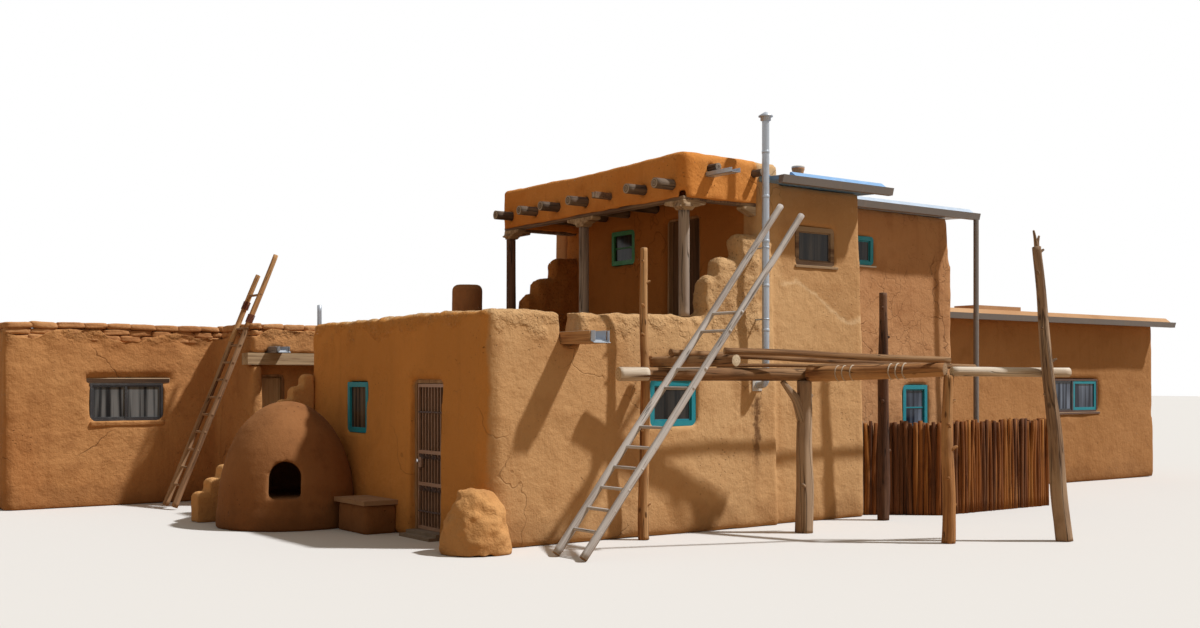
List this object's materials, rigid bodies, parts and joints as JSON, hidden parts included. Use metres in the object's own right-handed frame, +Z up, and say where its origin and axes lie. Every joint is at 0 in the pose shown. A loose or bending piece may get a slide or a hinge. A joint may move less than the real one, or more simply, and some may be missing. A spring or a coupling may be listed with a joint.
{
  "type": "adobe house",
  "caption": "Two-storey adobe house with a roofed upper porch, stepped walls, bread oven, ladders, barred door, low wings and a log drying rack in front.",
  "frame": {"origin": "middle of the footprint, on the ground", "axes": "+X east along the long row of rooms, +Y north away from the viewer's side, +Z up"},
  "size_m": [21.52, 15.1068, 5.7],
  "materials": {
    "adobe": "matte earth plaster",
    "oven_adobe": "smooth dark earth plaster",
    "galvanised": "dull grey metal",
    "tan_roofing": "tan roll roofing",
    "weathered_timber": "weathered and rough",
    "pale_timber": "pale and sun-bleached",
    "turquoise_paint": "painted turquoise",
    "green_paint": "painted green",
    "brown_frame": "satin brown",
    "pale_metal": "satin aluminium",
    "glass": "dark window glass",
    "stone": "rough grey",
    "tan_steel": "satin tan paint"
  },
  "bodies": {
    "house": {"front_wall": "adobe", "west_wall_south": "adobe", "west_wall_north": "adobe", "west_wall_lintel": "adobe", "north_wall": "adobe", "portal_back_wall": "adobe", "tower_front_wall": "adobe", "tower_side_wall": "adobe", "hall_front_wall": "adobe", "hall_east_wall": "adobe", "rear_wall": "adobe", "wing_front_wall": "adobe", "wing_back_walls": "adobe", "annex_front_left": "adobe", "annex_front_right": "adobe", "annex_front_top": "adobe", "annex_west_wall": "adobe", "annex_back_walls": "adobe", "alcove_wall": "adobe", "left_front_wall": "adobe", "decks": "adobe", "ground_floors": "adobe", "tower_roof": "galvanised", "hall_roof": "galvanised", "wing_roof": "tan_roofing", "gutters": "galvanised", "portal_band": "adobe", "portal_roof": "weathered_timber", "portal_beams": "weathered_timber", "portal_posts": "weathered_timber", "portal_corbels": "weathered_timber", "vigas": "weathered_timber", "stepped_wall_north": "adobe", "canales": "pale_timber", "oven": "oven_adobe", "buttresses": "adobe", "bench": "adobe", "bench_slab": "stone", "chimney": "adobe", "stovepipe": "galvanised", "blue_window_frames": "turquoise_paint", "green_window_frame": "green_paint", "tower_window_frame": "weathered_timber", "wing_window_frame": "brown_frame", "left_window_frame": "pale_metal", "window_glass": "glass", "door_frames": "pale_timber", "thresholds": "stone", "nook_board": "pale_timber", "upper_door": "weathered_timber", "front_ladder": "weathered_timber", "annex_ladder": "weathered_timber", "rack_posts": "weathered_timber", "rack_beams": "pale_timber", "rack_poles": "weathered_timber", "stake_fence": "weathered_timber"},
    "barred_door": {"barred_door": "tan_steel"},
    "inner_door": {"inner_door": "weathered_timber"},
    "annex_door": {"annex_door": "pale_timber"}
  },
  "joints": [
    {"name": "barred_door_hinge", "type": "hinge", "parent": "house", "child": "barred_door", "pos_m": [-6.989, -2.83675, 1], "axis": [0, 0, 1], "range_deg": [0, 90]},
    {"name": "inner_door_hinge", "type": "hinge", "parent": "house", "child": "inner_door", "pos_m": [-6.886, -2.83675, 1], "axis": [0, 0, 1], "range_deg": [-90, 0]},
    {"name": "annex_door_hinge", "type": "hinge", "parent": "house", "child": "annex_door", "pos_m": [-7.088, 3.29325, 1], "axis": [0, 0, 1], "range_deg": [0, 90]}
  ]
}
